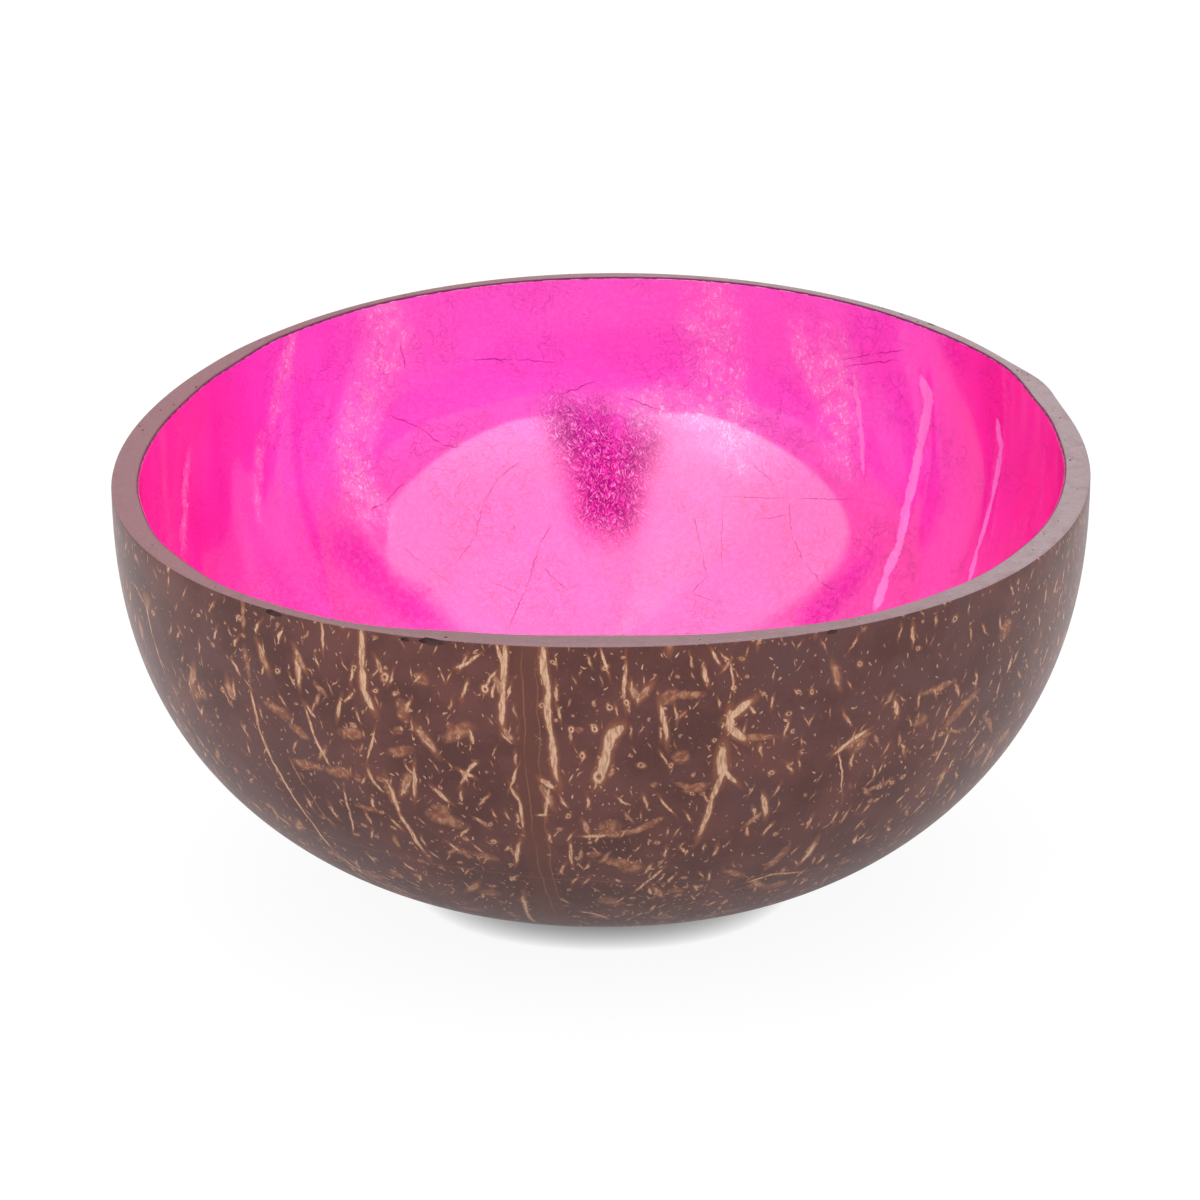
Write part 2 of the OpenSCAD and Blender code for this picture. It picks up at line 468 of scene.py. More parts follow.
class Finish:
    """A material, or the world, made of nodes."""

    def __init__(self, owner):
        owner.use_nodes = True
        self.owner = owner
        self.tree = owner.node_tree
        self.tree.nodes.clear()

    def node(self, kind, settings=None, sockets=(), output=0):
        made = self.tree.nodes.new(kind)
        for key, value in (settings or {}).items():
            setattr(made, key, value)
        pairs = sockets.items() if isinstance(sockets, dict) else enumerate(sockets)
        for key, value in pairs:
            if isinstance(value, Wire):
                self.tree.links.new(value.socket, made.inputs[key])
            else:
                if made.inputs[key].type == "RGBA":
                    value = (*value, 1)
                made.inputs[key].default_value = value
        return Wire(self, made.outputs[output]) if made.outputs else made

    def blend(self, factor, first, second, mode="MIX"):
        return self.node("ShaderNodeMix", {"data_type": "RGBA", "blend_type": mode},
                         {MIX_FACTOR: factor, MIX_FIRST: first, MIX_SECOND: second}, MIX_RESULT)

    def smooth(self, value, low, high):
        """0 at low, 1 at high, and an S between them. High may be the lower one."""
        return self.node("ShaderNodeMapRange", {"interpolation_type": "SMOOTHSTEP"},
                         (value, low, high, 0.0, 1.0))

    def near(self, value, full, none):
        """1 up to full, falling to 0 at none."""
        return 1 - self.smooth(value, full, none)

    def between(self, value, low, high, soft):
        """1 from low to high, with soft edges."""
        started = self.smooth(value, low - soft, low + soft)
        return started * self.near(value, high - soft, high + soft)

    def vector(self, operation, *terms):
        """Vector maths. A length comes out at the second output."""
        return self.node("ShaderNodeVectorMath", {"operation": operation}, terms, int(operation == "LENGTH"))

    def spot(self, *terms):
        return self.node("ShaderNodeCombineXYZ", {}, terms)

    def parts(self, place):
        """The X of a place, with its Y and Z as other outputs."""
        return self.node("ShaderNodeSeparateXYZ", {}, (place,))

    def noise(self, place, scale, detail=2.0, roughness=0.5, output=0, **settings):
        return self.node("ShaderNodeTexNoise", settings,
                         {"Vector": place, "Scale": scale, "Detail": detail, "Roughness": roughness}, output)

    def jittered(self, place, scale, reach, detail=2.0):
        """A place moved about by noise, by up to about half the reach."""
        stir = self.vector("SUBTRACT", self.noise(place, scale, detail, output="Color"), (0.5,) * 3)
        return self.vector("ADD", place, self.vector("MULTIPLY", stir, (reach,) * 3))

    def blob(self, place, centre, turn, sizes):
        """1 at a centre, falling to 0 at MARK_FADE times the sizes along, across and up."""
        made = self.node("ShaderNodeTexGradient", {"gradient_type": "SPHERICAL"}, {"Vector": place}, "Fac")
        laid = made.socket.node.texture_mapping
        laid.vector_type = "TEXTURE"
        laid.translation, laid.rotation, laid.scale = centre, turn, Vector(sizes) * MARK_FADE
        return made

    def surface(self, shader):
        owned_by = "World" if isinstance(self.owner, bpy.types.World) else "Material"
        self.node("ShaderNodeOutput" + owned_by, {}, {"Surface": shader})

    def relief(self, height, strength, distance):
        """Bumps as high as the distance, in metres, where the height is 1."""
        return self.node("ShaderNodeBump", {}, {"Strength": strength, "Distance": distance, "Height": height})

    def principled(self, sockets):
        """Ends a material with one principled surface."""
        self.surface(self.node("ShaderNodeBsdfPrincipled", {}, sockets))


def new_finish(name):
    return Finish(bpy.data.materials.new(name))


def in_millimetres(finish, output="Object"):
    place = finish.node("ShaderNodeTexCoord", {}, (), output)
    return finish.vector("MULTIPLY", place, (1 / MM,) * 3)


def skin_reach_to(finish, place, rows):
    """The least reach to any mark on the skin. A mark has turn and drop of both ends, and its width."""
    nearest = None
    for turn, drop, last_turn, last_drop, width in rows:
        start, end = Vector((unrolled(turn), drop)), Vector((unrolled(last_turn), last_drop))
        narrow = skin_reach((drop + last_drop) / 2)
        along = end - start
        lean = math.atan2(along.y, along.x)
        across = width / 2 / math.hypot(math.sin(lean) * narrow, math.cos(lean))
        middle = (start + end) / 2
        blob = finish.blob(place, (middle.x, middle.y, 0), (0, 0, lean),
                           (along.length * MARK_OVERLAP / 2 + width / 2, across, 1))
        nearest = nearest.most(blob) if nearest else blob
    return (1 - nearest) * MARK_FADE


def line_reach_to(finish, place, lines):
    """The least reach to any line inside the bowl. A line has its width and the points it follows."""
    nearest = None
    for width, *spots in lines:
        for first, last in zip(spots, spots[1:]):
            first, last = Vector(first), Vector(last)
            middle, along = (first + last) / 2, last - first
            out = Vector((middle.x, middle.y, middle.z - SHELL_HEIGHT))
            aside = along.cross(out).normalized()
            axes = Matrix((along.normalized(), aside, along.cross(aside).normalized())).transposed()
            blob = finish.blob(place, middle, axes.to_euler(),
                               (along.length * MARK_OVERLAP / 2 + width / 2, width / 2, LINE_DEPTH))
            nearest = nearest.most(blob) if nearest else blob
    return (1 - nearest) * MARK_FADE


def strewn(finish, place, narrow, cell, shift, sizes, lean, share):
    """Flecks strewn over a face, one in a share of the cells. Gives the reach to the nearest and its tone."""
    grid = finish.vector("ADD", finish.vector("DIVIDE", place, (*cell, 1.0)), shift)
    cells = finish.node("ShaderNodeTexVoronoi", {"voronoi_dimensions": "2D", "feature": "F1"},
                        {"Vector": grid, "Scale": 1.0, "Randomness": 1.0}, "Position")
    chance = finish.parts(cells.other("Color"))
    apart = finish.vector("SUBTRACT", grid, cells)
    apart = finish.vector("MULTIPLY", apart, finish.spot(narrow * cell[0], cell[1], 0.0))
    leant = finish.node("ShaderNodeVectorRotate", {"rotation_type": "Z_AXIS"},
                        {"Vector": apart, "Angle": (chance - 0.5) * math.radians(2 * lean)})
    grown = chance.other("Y") * chance.other("Y") + FLECK_LEAST
    halves = finish.spot(grown * (sizes[0] / 2), grown * (sizes[1] / 2), 1.0)
    reach = finish.vector("LENGTH", finish.vector("DIVIDE", leant, halves))
    return reach + (chance.other("Z") > share) * FAR_AWAY, chance.other("Y")


# How far marks that follow each other overlap, over how many sizes a mark fades, and a line's half depth
MARK_OVERLAP, MARK_FADE, LINE_DEPTH = 1.18, 2.5, 1.6
# The least growth of a strewn fleck, and a reach at which nothing shows
FLECK_LEAST, FAR_AWAY = 0.35, 50.0

# Streaks of pale fibre in the shell: turn and drop of both ends, and width
CREAM_STREAKS = (
    (242.2, 0.5, 242, 5.5, 0.9), (242, 5.5, 242.1, 8.6, 0.9), (242.1, 8.6, 242.9, 10.9, 0.9),
    (258.7, 0.4, 258.4, 6.5, 0.9), (258.4, 6.5, 258.1, 11.1, 0.9), (257.8, 0.3, 258.3, 2.3, 0.5),
    (262.9, 0.6, 263.3, 6.2, 1), (263.3, 6.2, 263.6, 12.7, 1), (263.6, 12.7, 264.3, 19, 1),
    (226.9, 13.3, 227, 18.2, 0.4), (227, 18.2, 227.7, 23.3, 0.4), (227.7, 23.3, 228.6, 29.4, 0.4),
    (228.6, 29.4, 229.5, 34.6, 0.4), (229.5, 34.6, 229.6, 42.7, 0.3), (229.6, 42.7, 230.3, 48.6, 0.3),
    (230.3, 48.6, 233.8, 53.4, 0.3), (234.4, 13.5, 235.1, 17, 0.4), (235.1, 17, 236, 21.1, 0.4),
    (237.3, 25.9, 237, 29.8, 0.3), (237, 29.8, 236, 33.6, 0.3), (243.7, 23, 244.1, 27.8, 0.6),
    (244.1, 27.8, 245.4, 35.5, 0.6), (207.7, 8.2, 208.5, 13.1, 0.3), (208.5, 13.1, 209.4, 16.8, 0.3),
    (233.8, 6.6, 233.9, 9.4, 0.7), (237.1, 0.5, 237.2, 3.5, 0.4), (253.3, 3.7, 254.4, 2.9, 0.5),
    (254.4, 2.9, 255.6, 1.7, 0.5), (256.3, 6.3, 256.9, 4.7, 0.4), (256.9, 4.7, 257.5, 3.9, 0.4),
    (239, 10.9, 238.4, 13.2, 0.6), (242.8, 14.7, 241.7, 18.8, 0.3), (241.3, 21, 241.5, 22.5, 0.5),
    (241.5, 22.5, 242.3, 24, 0.5), (247.3, 19.7, 246.7, 24, 0.6), (249.5, 22.8, 250.7, 24.2, 0.7),
    (258.7, 21, 259.4, 23.4, 0.5), (259.4, 23.4, 259.7, 28.1, 0.5), (259.6, 18, 258.6, 20.9, 0.4),
    (262.6, 19.8, 263.5, 20.7, 0.9), (263.2, 21.4, 262.7, 25.8, 0.5), (262.7, 25.8, 261.8, 25.9, 0.5),
    (259, 31.7, 258, 35.9, 0.6), (257.4, 46.7, 256.2, 53.8, 0.6), (256.2, 53.8, 255.4, 61, 0.6),
    (252.8, 21, 254, 18.5, 0.5), (254, 18.5, 254.8, 17.5, 0.5), (253, 19, 254.1, 19.8, 0.7),
    (270.9, 12.3, 270.2, 15.1, 1.5), (270.2, 15.1, 269.5, 18.8, 1.5), (271.6, 11.6, 271, 13, 1.3),
    (272.2, 2.9, 272.2, 7.5, 0.5), (269.7, 0.8, 270.3, 3.5, 0.4), (286.5, 8.9, 285.2, 10.2, 1.2),
    (285.2, 10.2, 284.3, 10.5, 1.2), (284.3, 10.2, 284.2, 12.3, 1.2), (284.2, 12.3, 285.8, 13.9, 1.2),
    (276.5, 8.8, 277.1, 13.1, 0.8), (283.7, 15.8, 283.7, 19.5, 1.5), (283.9, 19, 282.9, 23.6, 0.8),
    (282.9, 23.6, 281.9, 29.9, 0.8), (283.7, 18.7, 285.4, 20.8, 0.7), (284.4, 3.3, 284.6, 6.4, 0.3),
    (281.2, 3.6, 281.5, 5.3, 0.7), (282.3, 1.5, 283.1, 2.9, 0.5), (289.4, 24.5, 290, 27.2, 0.8),
    (289.1, 23.9, 289.4, 25.4, 0.5), (297.7, 18.2, 299.1, 17.1, 0.6), (299.1, 17.1, 301, 16, 0.6),
    (298.1, 18.6, 299.4, 25, 0.3), (304.5, 12.5, 305, 14.3, 0.7), (313.5, 20.7, 313.1, 23.2, 0.4),
    (313.1, 23.2, 312.8, 24.6, 0.4), (298.3, 35.5, 297.9, 39.6, 0.7), (291.3, 43.6, 294.7, 42.2, 0.5),
    (294.7, 42.2, 298.8, 43.1, 0.5), (274.5, 43.3, 276.2, 40.4, 0.5), (276.2, 40.4, 277.5, 37.7, 0.5),
    (267.5, 29.7, 269.9, 29.7, 0.7), (266.1, 52.3, 268.1, 53.3, 0.7), (268.1, 53.3, 270.2, 55.8, 0.7),
    (276.8, 23.1, 278.1, 25.3, 0.4), (265.4, 31.7, 265.5, 35.5, 0.5))
# Mottled tan patches, laid in the same way
TAN_PATCHES = (
    (230.5, 22.3, 231.8, 27.3, 0.3), (231.8, 27.3, 232.9, 33.8, 0.3), (243.4, 22.2, 243.6, 25.7, 1.2),
    (204.5, 7.1, 207.4, 8.2, 0.7), (226.6, 0.4, 226.6, 3.6, 0.8), (226.7, 7, 226.9, 10.7, 0.9),
    (234, 6.2, 233.9, 9.7, 1.2), (229.2, 14, 231.5, 15.1, 1.6), (232.4, 16.7, 233.6, 17.4, 1.5),
    (236.1, 9.1, 237.1, 10.4, 0.9), (246.5, 10.2, 246.7, 11.6, 1.9), (239.1, 15.6, 240.5, 15.3, 1.9),
    (245, 17.3, 246.7, 16.7, 1.6), (252, 13.7, 253.9, 12.4, 2.1), (248.8, 27.6, 251, 28.4, 2.7),
    (236.4, 22.6, 238.1, 22.2, 1.9), (231.7, 22.4, 234.5, 22.5, 1.6), (253.2, 35.1, 254.8, 35.6, 1.6),
    (238.8, 28, 240.6, 28.3, 1.2), (285.8, 13.9, 289.3, 14.2, 1.1), (276.7, 8.2, 278.5, 7.2, 1.1),
    (278.5, 7.2, 280.8, 7.2, 1.1), (297.4, 18.1, 301.3, 16.4, 1.1), (316.7, 15.4, 314.8, 16.8, 1.5),
    (314.8, 16.8, 313, 18.6, 1.5), (308.9, 12.2, 312.3, 12.1, 1.1), (298.4, 35.3, 298, 39.4, 1.2),
    (294.2, 35.7, 293, 39.4, 1.6), (269.9, 29.7, 273.5, 28.9, 1.2), (273.5, 28.9, 276.7, 26.7, 1.2),
    (270.3, 35.4, 273.7, 36, 2), (287, 39.6, 289.4, 41.3, 1.3), (280.1, 21.6, 281.7, 21.1, 1.6),
    (278.8, 20.7, 281, 21.7, 1.2), (319.7, 19.9, 322.6, 23.7, 0.8), (312.9, 19.9, 315.8, 20.7, 0.7),
    (303.4, 26.2, 306, 25.3, 0.9))
# Fibres cut across, as pale rings with a dark middle
FIBRE_ENDS = (
    (256.3, 6.268, 256.3, 6.532, 1.1), (244.7, 6.056, 244.7, 6.344, 1.2),
    (266.1, 11.604, 266.1, 11.796, 0.8), (268.9, 11.592, 268.9, 11.808, 0.9),
    (267.4, 15.792, 267.4, 16.008, 0.9), (269.2, 18.896, 269.2, 19.304, 1.7),
    (272.4, 8.004, 272.4, 8.196, 0.8), (284.6, 6.416, 284.6, 6.584, 0.7))
# Fine ochre lines along the sutures
SUTURE_HAIRLINES = (
    (260.7, 0.3, 260.7, 16.5, 0.25), (260.7, 16.5, 260.9, 30.4, 0.25), (260.9, 30.4, 261.4, 56.6, 0.25),
    (262.2, 2, 262.4, 22, 0.2), (262.4, 22, 262.9, 52, 0.2), (21.6, 1, 21.8, 30, 0.25),
    (21.8, 30, 22.3, 60, 0.22), (143.3, 1, 143.1, 30, 0.22), (143.1, 30, 142.6, 60, 0.2))

# Heights of bumps in the shell and in the leaf, in metres
WOOD_RELIEF, LEAF_RELIEF = 0.0001, 0.00014

# Polished outside
CHOCOLATE, RUSSET, SLATE = (0.092, 0.0245, 0.0205), (0.155, 0.048, 0.040), (0.110, 0.041, 0.041)
CREAM, TAN, HALO = (0.76, 0.48, 0.32), (0.46, 0.21, 0.12), (0.31, 0.10, 0.046)
DARK_CORE = (0.05, 0.018, 0.014)
OCHRE, SUTURE_BROWN, SANDED_BROWN = (0.30, 0.12, 0.055), (0.14, 0.040, 0.025), (0.30, 0.17, 0.11)
SLATE_PLACES = ((292, 4, 296, 8, 20), (305, 4, 309, 9, 16), (221, 34, 214, 30, 10), (288, 24, 292, 27, 9))

polish = new_finish("polished_shell_outside")
seen_place = in_millimetres(polish, "UV")
skin = polish.jittered(polish.jittered(seen_place, 0.45, 1.1), 2.2, 0.35)
marked = polish.jittered(polish.jittered(seen_place, 0.2, 1.2), 1.7, 0.26)
body = in_millimetres(polish)
from_axis = polish.vector("LENGTH", polish.vector("MULTIPLY", body, (1.0, 1.0, 0.0)))
narrow = from_axis / (SHELL_WIDTH / 2)

wide_tone = polish.noise(body, 0.035, 3)
cloud_tone = polish.noise(body, 0.11, 4, 0.6)
grain = polish.noise(polish.vector("MULTIPLY", seen_place, (1.0, 0.35, 1.0)), 2.6, 3)
wood = polish.blend(polish.smooth(cloud_tone, 0.35, 0.7), CHOCOLATE, RUSSET)
slate = polish.near(skin_reach_to(polish, skin, SLATE_PLACES), 0.3, 1.3)
slate = slate.most(polish.smooth(wide_tone, 0.56, 0.7)) * polish.smooth(cloud_tone, 0.4, 0.62)
wood = polish.blend(slate, wood, SLATE)

# One suture is where the skin is cut open, so it shows at both ends of the map
across_skin = polish.parts(skin)
suture_apart = None
for turn in SUTURE_TURNS:
    apart = abs((across_skin - unrolled(turn)) * narrow)
    suture_apart = suture_apart.least(apart) if suture_apart else apart
suture_apart = suture_apart.least(abs(across_skin - math.pi * SHELL_WIDTH) * narrow)
suture = polish.near(suture_apart, 1.0, 2.2)
wood = polish.blend(suture * 0.6, wood, SUTURE_BROWN)
fine_grain = polish.noise(seen_place, 6.0, 1)
grain_tone = polish.blend(grain * 0.5 + fine_grain * 0.5, (0.4,) * 3, (1.6,) * 3)
wood = polish.blend(0.5, wood, grain_tone, "MULTIPLY")

streak_reach = skin_reach_to(polish, marked, CREAM_STREAKS)
patch_reach = skin_reach_to(polish, skin, TAN_PATCHES)
ring_reach = skin_reach_to(polish, marked, FIBRE_ENDS)
hair_reach = skin_reach_to(polish, marked, SUTURE_HAIRLINES)

plenty = polish.smooth(polish.noise(body, 0.06, 2), 0.36, 0.6)
# Strewn flecks: cell, shift, sizes, lean and share
dash, dash_tone = strewn(polish, skin, narrow, (1.9, 3.4), (0, 0, 0), (0.34, 1.9), 38,
                          0.45 + plenty * 0.35)
leaf_fleck, leaf_tone = strewn(polish, skin, narrow, (5.5, 7.5), (17, 5, 0), (0.85, 3.4), 40,
                               0.3 + plenty * 0.3)
dot = strewn(polish, skin, narrow, (2.7, 2.9), (31, 9, 0), (0.62, 0.75), 90, 0.25 + plenty * 0.3)[0]
crumb, crumb_tone = strewn(polish, skin, narrow, (1.15, 1.5), (7, 41, 0), (0.2, 0.55), 60,
                            0.38 + plenty * 0.35)
smudge = strewn(polish, skin, narrow, (8.5, 9.5), (3, 23, 0), (3.2, 2.6), 60, 0.25 + plenty * 0.25)[0]

# Long streaks down the side that the photo doesn't show
long_streak, long_tone = strewn(polish, marked, narrow, (9.0, 15.0), (43, 7, 0), (1.5, 15.0), 24, 0.6)
body_parts = polish.parts(body)
long_streak = long_streak + polish.near(body_parts.other("Y"), 6.0, 14.0) * FAR_AWAY
mottle = polish.smooth(polish.noise(skin, 1.1, 4, 0.65), 0.42, 0.62)
fibre = polish.noise(polish.vector("MULTIPLY", skin, (3.2, 0.5, 1.0)), 1.0, 2)

open_wood = polish.smooth(suture_apart, 0.8, 2.0)
strewn_core = polish.near(dash, 0.65, 1.05) * (0.35 + dash_tone * 0.65)
leaf_core = polish.near(leaf_fleck, 0.6, 1.0) * (0.45 + leaf_tone * 0.5) * (0.45 + mottle * 0.55)
strewn_core = strewn_core.most(leaf_core * (0.5 + 0.5 * polish.smooth(leaf_fleck, 0.1, 0.5)))
strewn_core = strewn_core.most(polish.near(dot, 0.7, 1.05) * polish.smooth(dot, 0.2, 0.5) * 0.75)
strewn_core = strewn_core.most(polish.near(crumb, 0.6, 1.1) * (0.35 + crumb_tone * 0.5)) * open_wood
placed_core = polish.near(streak_reach, 0.72, 1.02)
placed_core = placed_core.most(polish.near(ring_reach, 0.7, 1.0) * polish.smooth(ring_reach, 0.25, 0.55))
placed_core = placed_core.most(polish.near(long_streak, 0.6, 1.0) * (0.5 + long_tone * 0.5))
core = placed_core.most(strewn_core * (0.85 + 0.15 * plenty))
halo = polish.near(streak_reach, 0.9, 1.9).most(polish.near(long_streak, 0.9, 1.9)) * 0.7
halo = halo.most(polish.near(dash, 0.7, 2.4) * 0.7 * open_wood)
halo = halo.most(polish.near(leaf_fleck, 0.7, 1.8) * 0.8 * open_wood)
halo = halo.most(polish.near(dot, 0.8, 1.9) * 0.6 * open_wood)
halo = halo.most(polish.near(ring_reach, 0.8, 1.6))
patch = polish.near(patch_reach, 0.4, 1.25).most(polish.near(smudge, 0.3, 1.15) * 0.8 * open_wood)
halo = halo.most(patch * 0.75)

colour = polish.blend(halo, wood, HALO)
colour = polish.blend(patch * mottle, colour, TAN)
colour = polish.blend(core, colour, polish.blend(polish.smooth(fibre, 0.3, 0.62), TAN, CREAM))
dark_middle = polish.near(dot, 0.15, 0.4).most(polish.near(ring_reach, 0.15, 0.45)) * open_wood
colour = polish.blend(dark_middle * 0.7, colour, DARK_CORE)
colour = polish.blend(polish.near(hair_reach, 0.5, 1.1) * 0.6, colour, OCHRE)
# Sanding has opened the foot to a paler, drier face
sanded = polish.near(body_parts.other("Z"), 0.02, 0.25)
colour = polish.blend(sanded * 0.35, colour, SANDED_BROWN)
waves = grain * 0.5 + polish.noise(body, 0.5, 2) * 0.6
polish.principled({
    "Base Color": colour, "Roughness": 0.36 + core * 0.14 + grain * 0.08 + sanded * 0.3,
    "Specular IOR Level": 0.4, "Sheen Weight": 0.2, "Sheen Roughness": 0.25, "Sheen Tint": (1.0, 0.85, 0.92),
    "Normal": polish.relief(waves, 0.25, WOOD_RELIEF)})

# Sawn rim
RIM_SHADED_LEFT, RIM_LIT_RIGHT, RIM_DEEP = (0.32, 0.165, 0.18), (0.40, 0.30, 0.315), (0.25, 0.145, 0.155)
RIM_PORE, PORE_DARK, PORE_BROWN = (0.13, 0.06, 0.06), (0.035, 0.014, 0.014), (0.11, 0.045, 0.04)
sawn = new_finish("sawn_rim")
rim_place = in_millimetres(sawn)
rim_parts = sawn.parts(rim_place)
painted_light_rightward = sawn.smooth(rim_parts, -45.0, 60.0)
speckle = sawn.noise(rim_place, 3.5, 3, 0.6)
blotch = sawn.noise(rim_place, 0.5, 3)
# Painted light: the rim's colour goes from a shaded tone on the left to a lit tone on the right
rim_colour = sawn.blend(painted_light_rightward, RIM_SHADED_LEFT, RIM_LIT_RIGHT)
rim_colour = sawn.blend(sawn.smooth(blotch, 0.45, 0.75) * 0.35, rim_colour, RIM_DEEP)
# Darker towards the front
rim_colour = sawn.blend(sawn.near(rim_parts.other("Y"), -60.0, -35.0) * 0.5, rim_colour, RIM_DEEP)
speckle_tone = sawn.blend(speckle, (0.45,) * 3, (1.55,) * 3)
rim_colour = sawn.blend(0.6, rim_colour, speckle_tone, "MULTIPLY")
rim_pores = strewn(sawn, rim_place, 1.0, (1.6, 1.6), (0, 0, 0), (0.22, 0.3), 90, 0.12)[0]
rim_colour = sawn.blend(sawn.near(rim_pores, 0.5, 1.1) * 0.5, rim_colour, RIM_PORE)
sawn.principled({"Base Color": rim_colour, "Roughness": 0.5 + speckle * 0.2, "Specular IOR Level": 0.35,
                 "Normal": sawn.relief(speckle, 0.35, WOOD_RELIEF)})

pore = new_finish("open_pore")
pore_tone = pore.noise(in_millimetres(pore), 4.0, 2)
pore.principled({"Base Color": pore.blend(pore_tone, PORE_DARK, PORE_BROWN), "Roughness": 0.8})
for finish in (polish, sawn, pore):
    shell.data.materials.append(finish.owner)

# Pits in the rim: turn, share across, and then length round, width across and depth in millimetres
RIM_PITS = (
    (26.5, 0.54, 0.4, 0.3, 0.35), (25.7, 0.36, 0.3, 0.25, 0.3), (24.6, 0.15, 0.34, 0.22, 0.3),
    (23, 0.55, 0.3, 0.26, 0.3), (52.9, 0.45, 0.5, 0.2, 0.25), (49.9, 0.5, 0.6, 0.2, 0.3),
    (46.8, 0.8, 0.5, 0.22, 0.3), (44.9, 0.42, 1.5, 0.32, 0.4),
    (12.5, 0.67, 0.24, 0.22, 0.25), (10.1, 0.56, 0.3, 0.26, 0.3), (356.5, 0.82, 0.42, 0.3, 0.35),
    (357.2, 0.72, 0.24, 0.22, 0.25), (347.6, 0.46, 0.22, 0.22, 0.25), (2.9, 0.81, 0.26, 0.2, 0.25),
    (337.6, 0.62, 0.24, 0.2, 0.25), (333.3, 0.74, 0.3, 0.22, 0.25), (328.5, 0.49, 0.24, 0.2, 0.2),
    (116.1, 0.8, 0.4, 0.18, 0.25), (139.7, 0.33, 0.3, 0.2, 0.25), (138.6, 0.38, 0.2, 0.16, 0.2),
    (171.5, 0.23, 0.3, 0.26, 0.35), (172.7, 0.46, 0.34, 0.28, 0.35), (163.9, 0.8, 0.34, 0.24, 0.3),
    (165.9, 0.49, 0.24, 0.18, 0.2), (157.3, 0.9, 0.6, 0.24, 0.3), (94.2, 0.36, 0.3, 0.18, 0.2),
    (251.8, 0.2, 0.5, 0.3, 0.3), (280.9, 0.35, 0.24, 0.18, 0.2), (208, 0.5, 0.26, 0.2, 0.2),
    (222, 0.35, 0.22, 0.18, 0.2), (300, 0.6, 0.26, 0.2, 0.2), (312, 0.3, 0.24, 0.2, 0.2),
    (72, 0.5, 0.4, 0.2, 0.2), (238, 0.7, 0.22, 0.18, 0.2))
# Chips out of the outer edge just under the rim: turn, drop, length round, depth, half height
EDGE_CHIPS = ((231, 0.55, 2.6, 0.34, 0.42), (250.3, 0.6, 3.6, 0.4, 0.5), (247.2, 0.7, 1.3, 0.3, 0.3),
              (296, 0.5, 1.6, 0.25, 0.3), (84, 0.5, 2.2, 0.3, 0.35), (184, 0.5, 1.4, 0.25, 0.3))
pits = [(rim_spot(turn, share), (along, across, depth), turn + 90)
        for turn, share, along, across, depth in RIM_PITS]
for turn, drop, along, depth, tall in EDGE_CHIPS:
    edge = rim_spot(turn, -suture_ridge(turn) / rim_wall_at(turn), drop)
    pits.append((edge, (along, 2 * depth, tall), turn + 90))
cut_pits(shell, pits)

# Ground coat, and the edge of the leaf
CRIMSON_DARK, CRIMSON_PALE = (0.13, 0.02, 0.06), (0.25, 0.045, 0.13)
FOIL_DARK, FOIL_PALE = (0.30, 0.06, 0.18), (0.85, 0.72, 0.8)
crimson = new_finish("crimson_ground_lacquer")
crimson_place = in_millimetres(crimson)
crimson_tone = crimson.noise(crimson_place, 1.2, 3)
crimson.principled({"Base Color": crimson.blend(crimson_tone, CRIMSON_DARK, CRIMSON_PALE),
                    "Roughness": 0.4 + crimson.noise(crimson_place, 3.0) * 0.2})
ground.data.materials.append(crimson.owner)

foil = new_finish("metal_leaf_edge")
foil_place = in_millimetres(foil)
foil_tone = foil.smooth(foil.noise(foil_place, 0.9, 3), 0.4, 0.65)
foil.principled({"Base Color": foil.blend(foil_tone, FOIL_DARK, FOIL_PALE), "Metallic": 1.0,
                 "Roughness": 0.3 + foil.noise(foil_place, 4.0) * 0.25})
leaf.data.materials.append(foil.owner)

# Tinted lacquer over the leaf
# Joints between leaves and folds in them: width, and the points that each follows
LEAF_JOINTS = (
    (0.22, (-7.6, 53.3, 27.9), (-9.2, 51.0, 25.7), (-11.2, 45.6, 21.1), (-13.8, 39.8, 17.4)),
    (0.16, (-11.9, 45.0, 20.7), (-16.1, 45.5, 22.4)), (0.16, (-9.2, 49.0, 23.6), (-5.2, 46.2, 20.5)),
    (0.16, (17.3, 54.3, 31.6), (26.1, 50.4, 33.1), (34.9, 46.2, 34.5)),
    (0.16, (26.1, 50.7, 32.1), (26.4, 47.7, 28.7), (28.0, 43.9, 26.0), (30.4, 40.1, 24.4),
     (32.3, 38.1, 24.2)),
    (0.16, (21.8, 50.8, 29.5), (26.1, 49.6, 30.8)), (0.16, (20.8, 55.9, 36.3), (24.2, 53.0, 34.0)),
    (0.2, (-30.5, 53.1, 44.9), (-25.9, 54.9, 42.0), (-23.0, 55.3, 39.3), (-20.5, 56.1, 38.7)),
    (0.16, (-12.1, 57.5, 35.8), (-15.1, 55.7, 34.1), (-17.1, 53.2, 31.3), (-18.5, 49.5, 27.4),
     (-21.4, 45.6, 24.8)),
    (0.16, (-28.2, 50.5, 35.7), (-31.2, 47.1, 33.9), (-33.2, 45.2, 33.5)),
    (0.16, (12.6, 53.9, 29.3), (13.8, 49.8, 25.0), (14.5, 47.0, 22.5), (12.2, 45.3, 20.5),
     (15.7, 43.6, 20.1)),
    (0.14, (16.8, 53.9, 30.8), (16.5, 47.3, 23.5)), (0.18, (-28.7, 56.1, 55.0), (-28.1, 55.9, 50.3)),
    (0.16, (-28.9, 44.5, 28.6), (-25.4, 44.0, 25.6), (-21.4, 43.4, 22.9)),
    (0.16, (-6.3, 62.0, 44.2), (-0.6, 62.9, 46.1)), (0.16, (2.3, 62.4, 44.0), (8.0, 61.5, 42.0)),
    (0.2, (-19.0, 60.1, 50.4), (-12.7, 61.8, 49.7), (-6.3, 63.0, 48.8)),
    (0.16, (33.3, 54.5, 52.4), (38.0, 51.4, 54.6), (42.1, 47.4, 56.7)),
    (0.16, (34.0, 53.9, 51.7), (41.4, 47.9, 55.0)))
